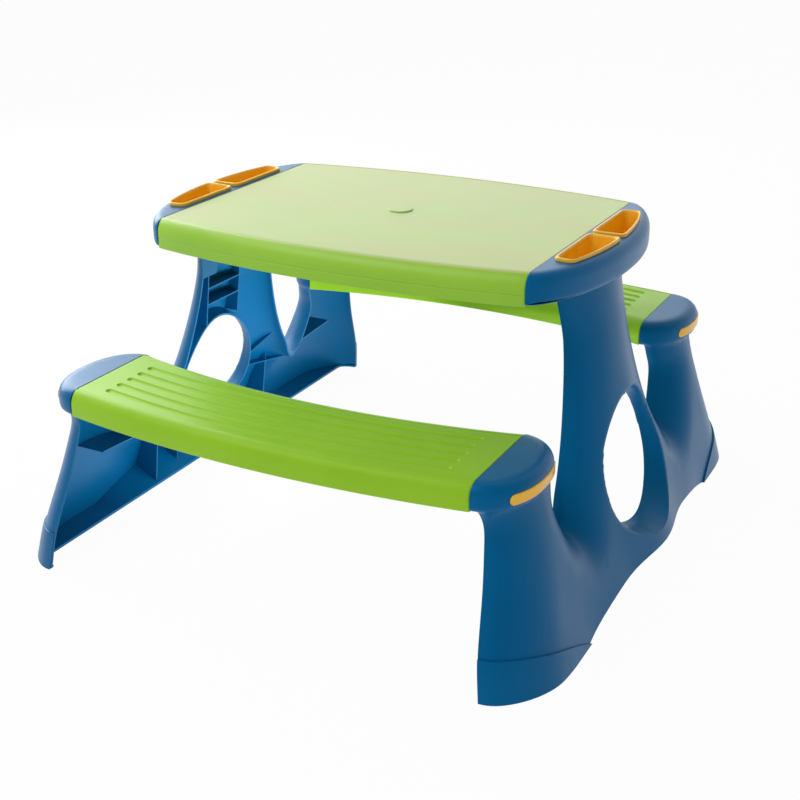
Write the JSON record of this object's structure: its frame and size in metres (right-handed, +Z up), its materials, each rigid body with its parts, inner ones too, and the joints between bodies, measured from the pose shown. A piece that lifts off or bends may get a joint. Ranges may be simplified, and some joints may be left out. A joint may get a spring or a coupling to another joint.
{
  "type": "kids table and bench set",
  "caption": "Low moulded plastic table for children with a bench fixed along each long side, end frames of pillar and two splayed legs, lift-out pen trays and a parasol hole.",
  "frame": {"origin": "centre of the footprint, on the floor", "axes": "+X along the table and the benches, +Y towards the back bench, +Z up"},
  "size_m": [0.9334, 0.953, 0.5053],
  "materials": {
    "blue_plastic": "moulded, satin sheen",
    "green_plastic": "moulded, satin sheen",
    "orange_plastic": "moulded, satin sheen",
    "zinc_steel": "zinc plated"
  },
  "bodies": {
    "table": {"table_top": "green_plastic", "front_bench": "green_plastic", "back_bench": "green_plastic", "right_end_frame": "blue_plastic", "left_end_frame": "blue_plastic", "front_left_strip": "orange_plastic", "front_right_strip": "orange_plastic", "back_left_strip": "orange_plastic", "back_right_strip": "orange_plastic", "table_screw_01": "zinc_steel", "table_screw_02": "zinc_steel", "table_screw_03": "zinc_steel", "table_screw_04": "zinc_steel", "table_screw_05": "zinc_steel", "table_screw_06": "zinc_steel", "table_screw_07": "zinc_steel", "table_screw_08": "zinc_steel", "seat_screw_01": "zinc_steel", "seat_screw_02": "zinc_steel", "seat_screw_03": "zinc_steel", "seat_screw_04": "zinc_steel", "seat_screw_05": "zinc_steel", "seat_screw_06": "zinc_steel", "seat_screw_07": "zinc_steel", "seat_screw_08": "zinc_steel"},
    "parasol_hole_cap": {"parasol_hole_cap": "green_plastic"},
    "front_left_tray": {"front_left_tray": "orange_plastic"},
    "front_right_tray": {"front_right_tray": "orange_plastic"},
    "back_left_tray": {"back_left_tray": "orange_plastic"},
    "back_right_tray": {"back_right_tray": "orange_plastic"}
  },
  "joints": [
    {"name": "parasol_hole_cap_lift", "type": "slide", "parent": "table", "child": "parasol_hole_cap", "axis": [0, 0, 1], "range_m": [0, 0.06]},
    {"name": "front_left_tray_lift", "type": "slide", "parent": "table", "child": "front_left_tray", "axis": [0, 0, 1], "range_m": [0, 0.08]},
    {"name": "front_right_tray_lift", "type": "slide", "parent": "table", "child": "front_right_tray", "axis": [0, 0, 1], "range_m": [0, 0.08]},
    {"name": "back_left_tray_lift", "type": "slide", "parent": "table", "child": "back_left_tray", "axis": [0, 0, 1], "range_m": [0, 0.08]},
    {"name": "back_right_tray_lift", "type": "slide", "parent": "table", "child": "back_right_tray", "axis": [0, 0, 1], "range_m": [0, 0.08]}
  ]
}
